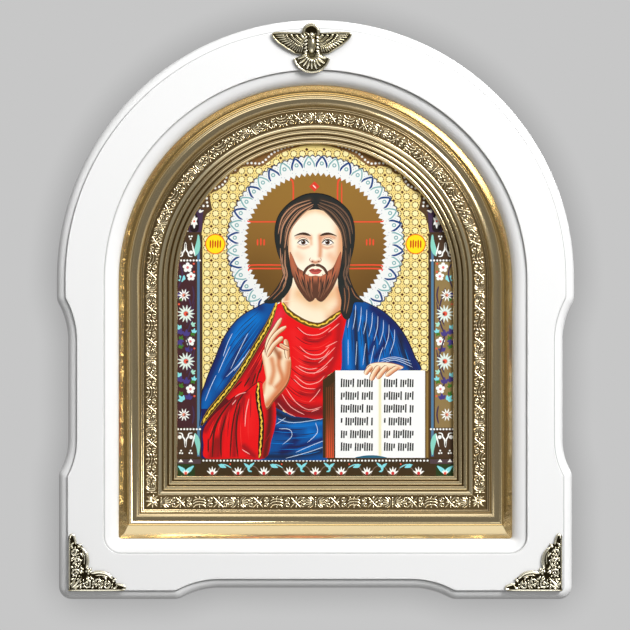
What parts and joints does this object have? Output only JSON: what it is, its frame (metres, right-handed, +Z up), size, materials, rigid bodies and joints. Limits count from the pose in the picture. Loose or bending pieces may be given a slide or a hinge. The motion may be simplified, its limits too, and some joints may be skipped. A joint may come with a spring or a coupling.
{
  "type": "framed icon panel",
  "caption": "Printed icon panel in a gilt arched moulding, set in a white painted frame with waisted sides, low feet, a cast dove at the crown and cast leaf corners, for hanging on a wall.",
  "frame": {"origin": "on the flat back of the frame's crown, on the centre line, where a wall fixing holds it", "axes": "+Z up, +Y out of the back into the wall, the picture faces -Y"},
  "size_m": [0.24, 0.029, 0.2685],
  "materials": {
    "white_paint": "smooth satin white paint on a routed board",
    "gilt_moulding": "metallised antique gold, polished, with an embossed scroll band",
    "printed_board": "colour print with gold foil on a thin board, plain brown behind",
    "cast_metal": "cast antique silver gilt with dark recesses"
  },
  "bodies": {
    "root": {"white_frame": "white_paint", "gilt_frame": "gilt_moulding", "icon_panel": "printed_board", "dove_ornament": "cast_metal", "corner_ornament_left": "cast_metal", "corner_ornament_right": "cast_metal"}
  },
  "joints": []
}
